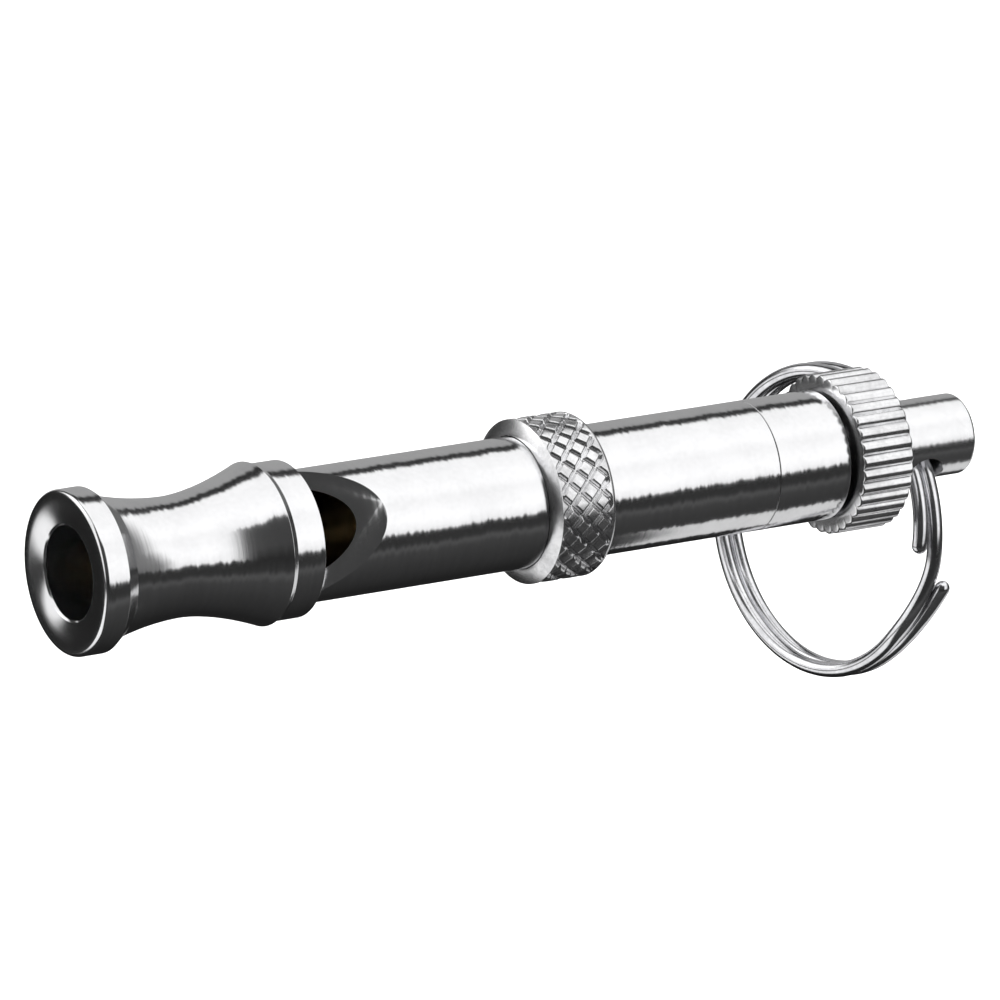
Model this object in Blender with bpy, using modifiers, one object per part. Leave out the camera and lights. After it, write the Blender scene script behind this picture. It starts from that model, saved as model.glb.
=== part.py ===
"""Adjustable silent dog whistle: a turned brass whistle with a tuning screw, lock nut and split ring.

World frame in metres: +X runs along the whistle's axis towards the tuning screw, the mouthpiece is at -X,
+Z is up and -Y is the side with the sound window. The origin is on the axis, inside the grip band.
"""

import math

import bpy
from mathutils import Matrix, Vector

MM = 0.001
COLLECTION_NAME = "dog_whistle"
CUTTER_COLLECTION_NAME = "dog_whistle_cutters"

ROUND_STEPS = 40
FINE_STEPS = 24
MERGE_DISTANCE = 0.000005

# Axial places, measured from the front lip of the mouthpiece.
LIP_TO_ORIGIN = 36.3 * MM
SOCKET_START = 13.0 * MM
MOUTHPIECE_END = 16.9 * MM
WINDOW_START = 16.5 * MM
WINDOW_END = 21.8 * MM
BAND_START = 34.1 * MM
BAND_END = 38.7 * MM
TUBE_END = 52.3 * MM
BUSH_END = 58.1 * MM
NUT_START = 58.4 * MM
NUT_END = 62.35 * MM
HEAD_START = 62.7 * MM
RING_HOLE = 65.5 * MM
HEAD_END = 69.3 * MM

# Radii.
TUBE_RADIUS = 4.4 * MM
TUBE_BORE = 3.4 * MM
MOUTH_BORE = 3.1 * MM
FLANGE_RADIUS = 5.45 * MM
WAIST_RADIUS = 3.98 * MM
REAR_BAND_RADIUS = 5.2 * MM
GRIP_RADIUS = 5.5 * MM
GRIP_RAMP = 0.3 * MM
GRIP_RIM = 0.3 * MM
NUT_RADIUS = 5.45 * MM
NUT_TOOTH_DEPTH = 0.32 * MM
NUT_TEETH = 34
THREAD_RADIUS = 2.5 * MM
HEAD_RADIUS = 2.75 * MM

FIT_GAP = 0.05 * MM
EDGE_BREAK = 0.3 * MM
SMALL_CHAMFER = 0.1 * MM

# Mouthpiece outline: (distance from the lip, radius).
LIP_ROUND = 0.3 * MM
FLANGE_END = 1.75 * MM
WAIST_FRONT = (2.75 * MM, 4.72 * MM)
WAIST_MIDDLE = 7.9 * MM
WAIST_REAR = (14.0 * MM, 5.42 * MM)
REAR_BAND_START = 14.4 * MM
REAR_BAND_END = 16.45 * MM
DISH_RADIUS = 4.5 * MM
DISH_DEPTH = 0.25 * MM

WINDOW_DEPTH = 2.95 * MM
WINDOW_TURN = math.radians(26.0)
WINDOW_CUTTER_SIZE = (9.0 * MM, 12.0 * MM, 6.0 * MM)

PLUG_FLAT_DEPTH = 0.7 * MM
PLUG_SETBACK = 0.6 * MM
PLUG_CUTTER_SIZE = (8.0 * MM, 8.0 * MM, 2.0 * MM)
CROSS_CUTTER_LENGTH = 9.0 * MM

PISTON_START = 27.5 * MM
PISTON_LENGTH = 6.0 * MM
SEAL_GROOVE_WIDTH = 0.95 * MM
SEAL_GROOVE_DEPTH = 0.75 * MM
SEAL_WIRE = 0.34 * MM
SEAL_FROM_FACE = 1.6 * MM
SOCKET_DEPTH = 2.9 * MM
JOURNAL_RADIUS = 1.2 * MM
JOURNAL_GROOVE_RADIUS = 0.75 * MM
JOURNAL_GROOVE_WIDTH = 1.0 * MM
SWIVEL_PIN_RADIUS = 0.35 * MM
SWIVEL_PIN_LENGTH = 5.6 * MM
SWIVEL_FROM_END = 1.3 * MM
JOURNAL_CLEARANCE = 0.3 * MM

BUSH_SPIGOT_LENGTH = 4.0 * MM

RING_RADIUS = 10.28 * MM
RING_WIRE = 0.525 * MM
RING_LAYER = 0.56 * MM
RING_HOLE_RADIUS = 1.4 * MM
RING_HOLE_ANGLE = math.radians(47.0)
RING_LEAN = math.radians(8.3)
RING_SKEW = math.radians(-3.0)
RING_SIT = -0.04 * MM
RING_FIRST_END = 44.0
RING_CROSS_HIGH = 46.0
RING_CROSS_LOW = 85.0
RING_SECOND_END = 55.0
RING_SPRING_LOW = 95.0
RING_SPRING_SIDE = 0.8 * MM
RING_SPRING_OUT = 0.7 * MM
RING_LIFT_START = 14.0
RING_LIFT_SIDE = 0.35 * MM
RING_POINTS_PER_TURN = 44


def along(distance):
    """World X of a place measured from the front lip."""
    return distance - LIP_TO_ORIGIN


def clear_scene():
    for obj in list(bpy.data.objects):
        bpy.data.objects.remove(obj, do_unlink=True)


def new_collection(name):
    collection = bpy.data.collections.new(name)
    bpy.context.scene.collection.children.link(collection)
    return collection


def new_material(name, color, metallic, roughness):
    material = bpy.data.materials.new(name)
    material.use_nodes = True
    shader = material.node_tree.nodes["Principled BSDF"]
    shader.inputs["Base Color"].default_value = (*color, 1.0)
    shader.inputs["Metallic"].default_value = metallic
    shader.inputs["Roughness"].default_value = roughness
    return material


def add_object(name, data, material, collection):
    obj = bpy.data.objects.new(name, data)
    collection.objects.link(obj)
    data.materials.append(material)
    return obj


def arc(center, radius, start_degrees, end_degrees, count):
    """Points (axial, radial) on a circle in the profile plane; 0 degrees points along +X, 90 outward."""
    points = []
    for index in range(count + 1):
        angle = math.radians(start_degrees + (end_degrees - start_degrees) * index / count)
        points.append((center[0] + radius * math.cos(angle), center[1] + radius * math.sin(angle)))
    return points


def turned(name, profile, material, collection, steps=ROUND_STEPS, closed=True):
    """Turn a profile of (distance from the lip, radius) points about the whistle's axis.

    The points run from the +X end along the outside to the -X end. A bored piece's profile is a closed loop
    that comes back along the bore; a solid one starts and ends on the axis. The mesh turns about its local Z,
    and the object's rotation lays that along world X.
    """
    mesh = bpy.data.meshes.new(name)
    vertices = [(radius, 0.0, along(distance)) for distance, radius in profile]
    edges = [(index, index + 1) for index in range(len(vertices) - 1)]
    if closed:
        edges.append((len(vertices) - 1, 0))
    mesh.from_pydata(vertices, edges, [])
    obj = add_object(name, mesh, material, collection)
    obj.rotation_euler = (0.0, math.radians(90.0), 0.0)
    screw = obj.modifiers.new("turn", "SCREW")
    screw.axis = "Z"
    screw.steps = steps
    screw.render_steps = steps
    screw.use_merge_vertices = True
    screw.merge_threshold = MERGE_DISTANCE
    screw.use_smooth_shade = True
    return obj


def box_cutter(name, size, collection, material):
    """A box primitive in the cutters' collection, centred on its own origin."""
    bpy.ops.mesh.primitive_cube_add(size=1.0)
    obj = bpy.context.active_object
    obj.name = name
    obj.data.transform(Matrix.Diagonal((*size, 1.0)))
    return file_cutter(obj, collection, material)


def rod_cutter(name, radius, length, collection, material):
    """A cylinder primitive in the cutters' collection, along its own Z."""
    bpy.ops.mesh.primitive_cylinder_add(vertices=FINE_STEPS, radius=radius, depth=length)
    obj = bpy.context.active_object
    obj.name = name
    return file_cutter(obj, collection, material)


def file_under(obj, collection, material):
    """Give a new primitive its material and move it to its own collection."""
    obj.data.materials.append(material)
    for owner in list(obj.users_collection):
        owner.objects.unlink(obj)
    collection.objects.link(obj)


def file_cutter(obj, collection, material):
    file_under(obj, collection, material)
    obj.hide_render = True
    obj.display_type = "WIRE"
    return obj


def cut(obj, cutter, name):
    boolean = obj.modifiers.new(name, "BOOLEAN")
    boolean.operation = "DIFFERENCE"
    boolean.solver = "EXACT"
    boolean.object = cutter
    return boolean


def waist_profile():
    """The hourglass between the two flanges, from the rear ridge to the front chamfer."""
    points = []
    for index in range(9):
        part = 1.0 - index / 8.0
        rise = (WAIST_REAR[1] - WAIST_RADIUS) * part**1.7
        points.append((WAIST_MIDDLE + (WAIST_REAR[0] - WAIST_MIDDLE) * part, WAIST_RADIUS + rise))
    for index in range(1, 7):
        part = index / 6.0
        rise = (WAIST_FRONT[1] - WAIST_RADIUS) * part**1.9
        points.append((WAIST_MIDDLE - (WAIST_MIDDLE - WAIST_FRONT[0]) * part, WAIST_RADIUS + rise))
    return points


def make_mouthpiece(material, collection):
    """One turned piece: front lip, waist, rear ridge and band, blow hole and the socket for the tube."""
    socket_radius = TUBE_RADIUS + FIT_GAP
    bore_edge = 2.5 * SMALL_CHAMFER
    profile = [
        (MOUTHPIECE_END, socket_radius),
        (MOUTHPIECE_END, TUBE_RADIUS + SMALL_CHAMFER),
        (REAR_BAND_END, REAR_BAND_RADIUS),
        (REAR_BAND_START, REAR_BAND_RADIUS),
    ]
    profile += waist_profile()
    profile.append((FLANGE_END, FLANGE_RADIUS))
    profile += arc((LIP_ROUND, FLANGE_RADIUS - LIP_ROUND), LIP_ROUND, 90.0, 180.0, 4)
    profile += [
        (0.0, DISH_RADIUS),
        (DISH_DEPTH, MOUTH_BORE + bore_edge),
        (DISH_DEPTH + bore_edge, MOUTH_BORE),
        (SOCKET_START, MOUTH_BORE),
        (SOCKET_START, socket_radius),
    ]
    return turned("mouthpiece", profile, material, collection)


def toward_window(distance, height):
    """Placement at a distance from the lip whose local Z points out through the window."""
    place = Matrix.Translation((along(distance), 0.0, 0.0))
    side = Matrix.Rotation(math.radians(90.0) - WINDOW_TURN, 4, "X")
    return place @ side @ Matrix.Translation((0.0, 0.0, height))


def window_cutter(collection, material):
    """A sheared box: its underside is the slanted blow face, its end stands square to the axis."""
    length, _, height = WINDOW_CUTTER_SIZE
    cutter = box_cutter("window_cutter", WINDOW_CUTTER_SIZE, collection, material)
    slope = WINDOW_DEPTH / (WINDOW_END - WINDOW_START)
    for vertex in cutter.data.vertices:
        vertex.co.x += 0.5 * length
        vertex.co.z += 0.5 * height + slope * vertex.co.x
    cutter.matrix_world = toward_window(WINDOW_START, TUBE_RADIUS - WINDOW_DEPTH)
    return cutter


def make_body_tube(material, collection, cutters):
    """The tube: bored through, with the slanted sound window cut just behind the mouthpiece."""
    profile = [
        (TUBE_END, TUBE_BORE),
        (TUBE_END, TUBE_RADIUS - SMALL_CHAMFER),
        (TUBE_END - SMALL_CHAMFER, TUBE_RADIUS),
        (SOCKET_START + FIT_GAP, TUBE_RADIUS),
        (SOCKET_START + FIT_GAP, TUBE_BORE),
    ]
    tube = turned("body_tube", profile, material, collection)
    cut(tube, window_cutter(cutters, material), "window")
    return tube


def windway_cutter(collection, material):
    """A box that planes the flat on the windway plug, on the same side as the window."""
    cutter = box_cutter("windway_cutter", PLUG_CUTTER_SIZE, collection, material)
    middle = TUBE_BORE - PLUG_FLAT_DEPTH + 0.5 * PLUG_CUTTER_SIZE[2]
    cutter.matrix_world = toward_window(SOCKET_START, middle)
    return cutter


def make_windway_plug(material, collection, cutters):
    """The plug in the tube's mouth end; its flat leaves the slot that aims air at the window's far edge."""
    radius = TUBE_BORE - FIT_GAP
    start = SOCKET_START + 2.0 * FIT_GAP
    end = WINDOW_START - PLUG_SETBACK
    profile = [(end, 0.0), (end, radius), (start, radius), (start, 0.0)]
    plug = turned("windway_plug", profile, material, collection, closed=False)
    cut(plug, windway_cutter(cutters, material), "windway")
    return plug


def make_grip_band(material, collection):
    """The raised band round the tube: a ramp up from the tube in front, a bevelled rim behind."""
    bore = TUBE_RADIUS + FIT_GAP
    profile = [
        (BAND_END, bore),
        (BAND_END, GRIP_RADIUS - GRIP_RIM),
        (BAND_END - GRIP_RIM, GRIP_RADIUS),
        (BAND_START + GRIP_RAMP, GRIP_RADIUS),
        (BAND_START, bore + SMALL_CHAMFER),
        (BAND_START, bore),
    ]
    return turned("grip_band", profile, material, collection)


def make_end_bush(material, collection):
    """The bush that closes the tube: flush outside, a spigot inside, and the tapped hole for the screw."""
    seam = TUBE_END + FIT_GAP
    spigot_radius = TUBE_BORE - FIT_GAP
    spigot_start = TUBE_END - BUSH_SPIGOT_LENGTH
    bore = THREAD_RADIUS + FIT_GAP
    profile = [
        (BUSH_END, bore),
        (BUSH_END, TUBE_RADIUS - SMALL_CHAMFER),
        (BUSH_END - SMALL_CHAMFER, TUBE_RADIUS),
        (seam + SMALL_CHAMFER, TUBE_RADIUS),
        (seam, TUBE_RADIUS - SMALL_CHAMFER),
        (seam, spigot_radius),
        (spigot_start, spigot_radius),
        (spigot_start, bore),
    ]
    return turned("end_bush", profile, material, collection)


def make_tuning_screw(material, collection, cutters):
    """The tuning screw: journal, M5 shank and plain head in one bar, cross-drilled for the split ring."""
    piston_end = PISTON_START + PISTON_LENGTH
    journal_start = piston_end - SOCKET_DEPTH + JOURNAL_CLEARANCE
    groove_middle = piston_end - SWIVEL_FROM_END
    half_groove = 0.5 * JOURNAL_GROOVE_WIDTH
    shoulder = piston_end + JOURNAL_CLEARANCE
    lead_in = 5.0 * SMALL_CHAMFER
    profile = [
        (HEAD_END, 0.0),
        (HEAD_END, HEAD_RADIUS - EDGE_BREAK),
        (HEAD_END - SMALL_CHAMFER, HEAD_RADIUS - SMALL_CHAMFER),
        (HEAD_END - EDGE_BREAK, HEAD_RADIUS),
        (HEAD_START, HEAD_RADIUS),
        (HEAD_START, THREAD_RADIUS),
        (shoulder + lead_in, THREAD_RADIUS),
        (shoulder, THREAD_RADIUS - lead_in),
        (shoulder, JOURNAL_RADIUS),
        (groove_middle + half_groove, JOURNAL_RADIUS),
        (groove_middle + half_groove, JOURNAL_GROOVE_RADIUS),
        (groove_middle - half_groove, JOURNAL_GROOVE_RADIUS),
        (groove_middle - half_groove, JOURNAL_RADIUS),
        (journal_start, JOURNAL_RADIUS),
        (journal_start, 0.0),
    ]
    screw = turned("tuning_screw", profile, material, collection, steps=32, closed=False)
    cut(screw, ring_hole_cutter(cutters, material), "ring_hole")
    return screw


def ring_hole_direction():
    """Unit vector along the split ring's hole, out of its lower mouth."""
    return Vector((0.0, -math.cos(RING_HOLE_ANGLE), -math.sin(RING_HOLE_ANGLE)))


def ring_hole_cutter(collection, material):
    """A rod on the split ring's pivot axis, square to the screw."""
    cutter = rod_cutter("ring_hole_cutter", RING_HOLE_RADIUS, CROSS_CUTTER_LENGTH, collection, material)
    cutter.location = (along(RING_HOLE), 0.0, 0.0)
    cutter.rotation_mode = "QUATERNION"
    cutter.rotation_quaternion = ring_hole_direction().to_track_quat("Z", "X")
    return cutter


def make_piston(material, collection, cutters):
    """The piston that sets the air column's length, with a seal groove and a socket for the journal."""
    radius = TUBE_BORE - FIT_GAP
    chamfer = 0.2 * MM
    end = PISTON_START + PISTON_LENGTH
    groove_middle = PISTON_START + SEAL_FROM_FACE
    half_groove = 0.5 * SEAL_GROOVE_WIDTH
    socket_radius = JOURNAL_RADIUS + FIT_GAP
    profile = [
        (end - SOCKET_DEPTH, 0.0),
        (end - SOCKET_DEPTH, socket_radius),
        (end, socket_radius),
        (end, radius - chamfer),
        (end - chamfer, radius),
        (groove_middle + half_groove, radius),
        (groove_middle + half_groove, radius - SEAL_GROOVE_DEPTH),
        (groove_middle - half_groove, radius - SEAL_GROOVE_DEPTH),
        (groove_middle - half_groove, radius),
        (PISTON_START + chamfer, radius),
        (PISTON_START, radius - chamfer),
        (PISTON_START, 0.0),
    ]
    piston = turned("piston", profile, material, collection, steps=32, closed=False)
    hole_radius = SWIVEL_PIN_RADIUS + FIT_GAP
    cutter = rod_cutter("pin_hole_cutter", hole_radius, CROSS_CUTTER_LENGTH, cutters, material)
    cutter.matrix_world = swivel_pin_place()
    cut(piston, cutter, "pin_hole")
    return piston


def swivel_pin_place():
    """Across the piston along Y, touching the waist of the screw's journal with a running gap."""
    height = JOURNAL_GROOVE_RADIUS + SWIVEL_PIN_RADIUS + FIT_GAP
    place = Matrix.Translation((along(PISTON_START + PISTON_LENGTH - SWIVEL_FROM_END), 0.0, height))
    return place @ Matrix.Rotation(math.radians(90.0), 4, "X")


def make_swivel_pin(material, collection):
    """The cross pin in the piston that rides in the journal's groove, so the screw turns on its own."""
    bpy.ops.mesh.primitive_cylinder_add(vertices=16, radius=SWIVEL_PIN_RADIUS, depth=SWIVEL_PIN_LENGTH)
    pin = bpy.context.active_object
    pin.name = "swivel_pin"
    file_under(pin, collection, material)
    pin.matrix_world = swivel_pin_place()
    pin.data.shade_smooth()
    return pin


def make_piston_seal(material, collection):
    """The packing ring in the piston's groove."""
    radius = TUBE_BORE - FIT_GAP - SEAL_WIRE
    bpy.ops.mesh.primitive_torus_add(
        major_segments=32, minor_segments=10, major_radius=radius, minor_radius=SEAL_WIRE
    )
    seal = bpy.context.active_object
    seal.name = "piston_seal"
    file_under(seal, collection, material)
    seal.rotation_euler = (0.0, math.radians(90.0), 0.0)
    seal.location = (along(PISTON_START + SEAL_FROM_FACE), 0.0, 0.0)
    seal.data.shade_smooth()
    return seal


def add_outline(curve, points):
    spline = curve.splines.new("POLY")
    spline.points.add(len(points) - 1)
    for point, place in zip(spline.points, points):
        point.co = (place[0], place[1], 0.0, 1.0)
    spline.use_cyclic_u = True


def nut_outline():
    """The serrated rim: each tooth has a root and a rounded crest."""
    shoulder_drop = 0.25 * NUT_TOOTH_DEPTH
    tooth = ((0.0, NUT_TOOTH_DEPTH), (0.24, shoulder_drop), (0.5, 0.0), (0.76, shoulder_drop))
    points = []
    for index in range(NUT_TEETH):
        for part, drop in tooth:
            angle = 2.0 * math.pi * (index + part) / NUT_TEETH
            radius = NUT_RADIUS - drop
            points.append((radius * math.cos(angle), radius * math.sin(angle)))
    return points


def make_lock_nut(material, collection):
    """The serrated lock nut: a flat outline with its threaded bore, as thick as the nut is long."""
    curve = bpy.data.curves.new("lock_nut", "CURVE")
    curve.dimensions = "2D"
    curve.fill_mode = "BOTH"
    curve.extrude = 0.5 * (NUT_END - NUT_START)
    curve.render_resolution_u = 0
    add_outline(curve, nut_outline())
    bore = THREAD_RADIUS + FIT_GAP
    turn = 2.0 * math.pi / 32
    add_outline(curve, [(bore * math.cos(turn * i), bore * math.sin(turn * i)) for i in range(32)])
    nut = add_object("lock_nut", curve, material, collection)
    nut.rotation_euler = (0.0, math.radians(90.0), 0.0)
    nut.location = (along(0.5 * (NUT_START + NUT_END)), 0.0, 0.0)
    return nut


def smooth_step(low, high, value):
    part = min(max((value - low) / (high - low), 0.0), 1.0)
    return part * part * (3.0 - 2.0 * part)


def ring_frame():
    """Vectors of the split ring at rest: from the hole to its centre, along the hole, and its own axis."""
    along_hole = ring_hole_direction()
    outward = Vector((1.0, 0.0, 0.0)).cross(along_hole)
    if outward.y < 0.0:
        outward = -outward
    to_center = math.cos(RING_LEAN) * outward - math.sin(RING_LEAN) * Vector((1.0, 0.0, 0.0))
    square = math.cos(RING_LEAN) * Vector((1.0, 0.0, 0.0)) + math.sin(RING_LEAN) * outward
    ring_axis = math.cos(RING_SKEW) * square + math.sin(RING_SKEW) * along_hole
    tangent = math.cos(RING_SKEW) * along_hole - math.sin(RING_SKEW) * square
    return to_center, tangent, ring_axis


def ring_point(degrees, frame):
    """A point of the wire's centre line, relative to the hole's centre.

    Degrees count back from the first end, through the hole twice, to the second end. Between the two ends
    the wire crosses from one layer to the other. The first end lifts a little off the second turn, and the
    second end springs clear of the crossing.
    """
    to_center, tangent, ring_axis = frame
    place = RING_FIRST_END - degrees
    crossing = smooth_step(RING_CROSS_LOW, RING_CROSS_HIGH, place + 360.0)
    side = RING_LAYER * (crossing * 2.0 - 1.0)
    spring = max((RING_SPRING_LOW - (place + 720.0)) / (RING_SPRING_LOW - RING_SECOND_END), 0.0) ** 2
    lift = max((place - RING_LIFT_START) / (RING_FIRST_END - RING_LIFT_START), 0.0) ** 2
    side += RING_SPRING_SIDE * spring - RING_LIFT_SIDE * lift
    radius = RING_RADIUS + RING_SPRING_OUT * spring
    turn = math.radians(place)
    center = (RING_RADIUS - RING_SIT) * to_center
    return center + radius * (math.sin(turn) * tangent - math.cos(turn) * to_center) + side * ring_axis


def make_split_ring(material, collection):
    """The two-turn split ring, threaded through the screw's cross hole."""
    total = 720.0 + RING_FIRST_END - RING_SECOND_END
    count = int(RING_POINTS_PER_TURN * total / 360.0)
    frame = ring_frame()
    curve = bpy.data.curves.new("split_ring", "CURVE")
    curve.dimensions = "3D"
    curve.bevel_depth = RING_WIRE
    curve.bevel_resolution = 2
    curve.use_fill_caps = True
    curve.render_resolution_u = 0
    spline = curve.splines.new("POLY")
    spline.points.add(count)
    for index, point in enumerate(spline.points):
        point.co = (*ring_point(total * index / count, frame), 1.0)
    ring = add_object("split_ring", curve, material, collection)
    ring.location = (along(RING_HOLE), 0.0, 0.0)
    return ring


def main():
    clear_scene()
    collection = new_collection(COLLECTION_NAME)
    cutters = new_collection(CUTTER_COLLECTION_NAME)
    plated = new_material("nickel_plate", (0.78, 0.78, 0.79), 1.0, 0.12)
    plated_nut = new_material("nickel_plate_nut", (0.8, 0.8, 0.81), 1.0, 0.22)
    plated_band = new_material("nickel_plate_knurl", (0.74, 0.74, 0.75), 1.0, 0.25)
    plated_screw = new_material("nickel_plate_screw", (0.8, 0.8, 0.8), 1.0, 0.2)
    brass = new_material("turned_brass", (0.72, 0.56, 0.3), 1.0, 0.3)
    spring_steel = new_material("plated_spring_steel", (0.75, 0.75, 0.77), 1.0, 0.15)
    pin_steel = new_material("pin_steel", (0.55, 0.56, 0.58), 1.0, 0.35)
    rubber = new_material("black_rubber", (0.03, 0.03, 0.03), 0.0, 0.7)
    make_mouthpiece(plated, collection)
    make_windway_plug(brass, collection, cutters)
    make_body_tube(plated, collection, cutters)
    make_grip_band(plated_band, collection)
    make_end_bush(plated, collection)
    make_tuning_screw(plated_screw, collection, cutters)
    make_piston(brass, collection, cutters)
    make_piston_seal(rubber, collection)
    make_swivel_pin(pin_steel, collection)
    make_lock_nut(plated_nut, collection)
    make_split_ring(spring_steel, collection)


main()
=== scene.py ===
"""Looks for the silent dog whistle: high-resolution shells, materials, studio light and camera.

Lengths are in metres in the frame's own axes: +X runs along the whistle towards the tuning screw, +Z is up,
and -Y is the side with the sound window. Pieces are placed from the CAD nodes' boxes. Places on the
mouthpiece and the window are measured from the mouthpiece's front lip.
"""

import math

import bmesh
import bpy
from mathutils import Matrix, Vector


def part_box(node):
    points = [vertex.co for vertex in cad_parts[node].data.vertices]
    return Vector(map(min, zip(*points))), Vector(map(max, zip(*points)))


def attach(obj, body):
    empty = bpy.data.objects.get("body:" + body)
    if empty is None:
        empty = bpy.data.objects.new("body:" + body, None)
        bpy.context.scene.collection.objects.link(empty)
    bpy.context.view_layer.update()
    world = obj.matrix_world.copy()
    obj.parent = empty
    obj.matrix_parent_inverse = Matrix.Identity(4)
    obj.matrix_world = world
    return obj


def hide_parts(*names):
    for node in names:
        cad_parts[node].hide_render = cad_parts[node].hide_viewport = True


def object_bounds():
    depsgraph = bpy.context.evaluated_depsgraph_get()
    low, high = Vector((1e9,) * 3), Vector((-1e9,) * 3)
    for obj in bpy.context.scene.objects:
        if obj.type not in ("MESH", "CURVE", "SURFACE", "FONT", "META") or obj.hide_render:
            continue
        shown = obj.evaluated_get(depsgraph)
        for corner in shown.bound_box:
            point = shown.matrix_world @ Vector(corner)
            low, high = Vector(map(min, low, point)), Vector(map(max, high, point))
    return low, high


MM = 0.001
TAU = 2.0 * math.pi

ROUND_STEPS = 192
CORNER_STEPS = 5
CORNER_RADIUS = 0.04 * MM
LEAST_TURN = math.radians(12.0)
MERGE_DISTANCE = 0.000002
SHARP_ANGLE = math.radians(32.0)
LATHE_ALIGNMENT = 0.985
LATHE_TOLERANCE = 0.02 * MM

# Tube, mouthpiece and window.
TUBE_RADIUS = 4.4 * MM
TUBE_BORE = 3.4 * MM
MOUTH_BORE = 3.1 * MM
FLANGE_RADIUS = 5.45 * MM
WAIST_RADIUS = 3.98 * MM
REAR_BAND_RADIUS = 5.2 * MM
FIT_GAP = 0.05 * MM
SEAM_CHAMFER = 0.02 * MM
BUSH_CHAMFER = 0.16 * MM
REAR_STEP = 0.1 * MM
BORE_CHAMFER = 0.12 * MM
LIP_ROUND = 0.3 * MM
LIP_STEPS = 12
FLANGE_END = 1.75 * MM
WAIST_FRONT = (2.75 * MM, 4.72 * MM)
WAIST_MIDDLE = 7.9 * MM
WAIST_REAR = (14.0 * MM, 5.42 * MM)
WAIST_FRONT_POWER = 1.9
WAIST_REAR_POWER = 1.7
WAIST_STEPS = 28
REAR_BAND_START = 14.4 * MM
REAR_BAND_END = 16.45 * MM
DISH_RADIUS = 4.5 * MM
DISH_DEPTH = 0.25 * MM
WINDOW_START = 16.5 * MM
WINDOW_LENGTH = 5.3 * MM
WINDOW_DEPTH = 2.95 * MM
WINDOW_TURN = math.radians(26.0)
WINDOW_CUTTER_SIZE = Vector((9.0 * MM, 12.0 * MM, 6.0 * MM))

# Grip band and its diamond knurl.
GRIP_RADIUS = 5.5 * MM
KNURL_STARTS = 22
KNURL_COLUMNS = 24
KNURL_ROWS = 84
KNURL_DEPTH = 0.24 * MM
KNURL_GROOVE = 0.36
KNURL_FLANK = 1.25
KNURL_CROWN = 0.06
KNURL_MARGIN = 0.06 * MM
KNURL_FADE = 0.16 * MM
GRIP_FOOT = 0.05 * MM
GRIP_STEEP = (0.03 * MM, 0.4 * MM)
GRIP_RAMP = 0.36 * MM
GRIP_RIM = 0.3 * MM

# Lock nut.
NUT_RADIUS = 5.45 * MM
NUT_TEETH = 34
NUT_TOOTH_COLUMNS = 14
NUT_TOOTH_DEPTH = 0.32 * MM
NUT_TOOTH_POWER = 0.75
NUT_CHAMFER = 0.16 * MM
NUT_CHAMFER_STEPS = 5
NUT_FACE_RUN = 0.5 * MM
NUT_FACE_DEPTH = 0.35
NUT_EDGE_DEPTH = 0.4

# Tuning screw.
THREAD_RADIUS = 2.5 * MM
THREAD_PITCH = 0.8 * MM
THREAD_DEPTH = 0.43 * MM
THREAD_ROOT = 0.12
THREAD_FLANK = 0.74
THREAD_ROWS = 16
THREAD_LEAD_IN = 0.5 * MM
SHANK_STEPS = 48
HEAD_RADIUS = 2.75 * MM
HEAD_LENGTH = 6.6 * MM
HEAD_ROUND = 0.3 * MM
HEAD_ROUND_STEPS = 10
HEAD_CHAMFER = 0.08 * MM
HEAD_CORNER = 0.02 * MM
HOLE_FROM_END = 3.8 * MM
HOLE_RADIUS = 1.4 * MM
HOLE_ANGLE = math.radians(47.0)
HOLE_STEPS = 64
HOLE_HALF_LENGTH = 4.0 * MM
HOLE_FLARE = 0.14 * MM
HOLE_SPREAD = 0.6 * MM
SHOULDER_GAP = 0.3 * MM
JOURNAL_RADIUS = 1.2 * MM
GROOVE_FROM_PISTON = 1.3 * MM
GROOVE_HALF_WIDTH = 0.5 * MM
GROOVE_RADIUS = 0.75 * MM

# Split ring.
RING_RADIUS = 10.28 * MM
RING_WIRE = 0.525 * MM
RING_LAYER = 0.56 * MM
RING_LEAN = math.radians(8.3)
RING_SKEW = math.radians(-3.0)
RING_SIT = -0.04 * MM
RING_FIRST_END = 44.0
RING_CROSS_HIGH = 46.0
RING_CROSS_LOW = 85.0
RING_SECOND_END = 55.0
RING_SPRING_LOW = 95.0
RING_SPRING_SIDE = 0.8 * MM
RING_SPRING_OUT = 0.7 * MM
RING_LIFT_START = 14.0
RING_LIFT_SIDE = 0.35 * MM
RING_STATIONS = 520
RING_SIDES = 28
RING_END_STEPS = 6
RING_TIP_SIZE = 0.02
RING_AHEAD = 0.2

# Finish of the metal and the rubber.
CLOUD_SCALE = 420.0
SPECK_SCALE = 3200.0
CLOUD_SHARE = 0.7
TARNISH_STOPS = (0.32, 0.58)
CLOUD_ROUGHNESS = 0.35
MARKS_ROUGHNESS = 0.25
MARKS_SQUEEZE = (1.0, 0.02, 0.02)
MARKS_HEIGHT = 0.004 * MM
RIPPLE_STRENGTH = 0.25
RIPPLE_HEIGHT = 0.01 * MM
CHATTER_SCALE = 3400.0
CHATTER_SQUEEZE = (1.0, 0.1, 0.1)
EVEN = (1.0, 1.0, 1.0)
RUBBER_SCALE = 6000.0
RUBBER_STOPS = ((0.3, (0.012, 0.012, 0.012)), (0.7, (0.05, 0.05, 0.048)))
RUBBER_ROUGHNESS = (0.55, 0.2)
RUBBER_STRENGTH = 0.4
RUBBER_HEIGHT = 0.01 * MM

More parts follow.
